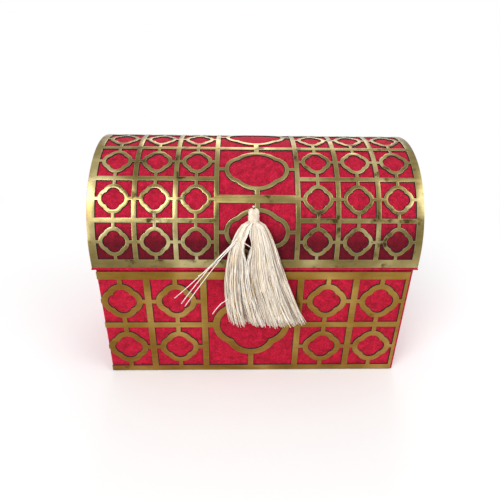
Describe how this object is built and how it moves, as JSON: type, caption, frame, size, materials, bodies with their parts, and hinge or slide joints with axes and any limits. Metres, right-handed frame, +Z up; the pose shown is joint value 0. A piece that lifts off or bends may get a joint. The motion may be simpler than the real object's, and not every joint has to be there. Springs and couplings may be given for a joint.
{
  "type": "dome-lidded velvet trunk",
  "caption": "Small velvet-covered trunk with a hinged half-barrel lid, gold lattice fretwork on lid and front, and an ivory tassel.",
  "frame": {"origin": "centre of the base's underside, on the surface that the trunk stands on", "axes": "+Z up, front of the trunk towards -Y, +X to the right as seen from the front"},
  "size_m": [0.262, 0.1719, 0.1942],
  "materials": {
    "velvet": "short crimson pile",
    "lining": "crimson satin over card",
    "board": "raw fibreboard",
    "bottom_paper": "matt dark backing paper",
    "gold_sheet": "laser-cut card with a gold mirror face and dark cut edges",
    "hinge_brass": "satin brass",
    "silk": "ivory silk thread"
  },
  "bodies": {
    "base": {"base_back_board": "board", "base_bottom_cover": "bottom_paper", "base_floor_board": "board", "base_fretwork": "gold_sheet", "base_front_board": "board", "base_left_board": "board", "base_lining_back": "lining", "base_lining_floor": "lining", "base_lining_front": "lining", "base_lining_left": "lining", "base_lining_right": "lining", "base_right_board": "board", "base_rim_velvet": "velvet", "base_velvet_back": "velvet", "base_velvet_front": "velvet", "base_velvet_left": "velvet", "base_velvet_right": "velvet", "hinge_base_leaves": "hinge_brass", "hinge_base_screws": "hinge_brass", "hinge_pins": "hinge_brass"},
    "lid": {"hinge_lid_leaves": "hinge_brass", "hinge_lid_screws": "hinge_brass", "lid_bent_board": "board", "lid_fretwork": "gold_sheet", "lid_left_end_board": "board", "lid_lining_dome": "lining", "lid_lining_left_end": "lining", "lid_lining_right_end": "lining", "lid_right_end_board": "board", "lid_rim_velvet": "velvet", "lid_velvet_dome": "velvet", "lid_velvet_left_end": "velvet", "lid_velvet_right_end": "velvet", "tassel_cord": "silk", "tassel_cord_knot": "silk"},
    "tassel_head": {"tassel_head": "silk"},
    "tassel_skirt": {"tassel_neck": "silk", "tassel_neck_binding": "silk", "tassel_skirt": "silk"}
  },
  "joints": [
    {"name": "lid_hinge", "type": "hinge", "parent": "base", "child": "lid", "pos_m": [0, 0.0782, 0.10645], "axis": [-1, 0, 0], "range_deg": [0, 105]},
    {"name": "tassel_swing", "type": "hinge", "parent": "lid", "child": "tassel_head", "pos_m": [-0.003, -0.07426, 0.15473], "axis": [0, 1, 0], "range_deg": [-50, 50]},
    {"name": "tassel_lift", "type": "hinge", "parent": "tassel_head", "child": "tassel_skirt", "pos_m": [-0.003, -0.07426, 0.15473], "axis": [-1, 0, 0], "range_deg": [0, 90]}
  ]
}
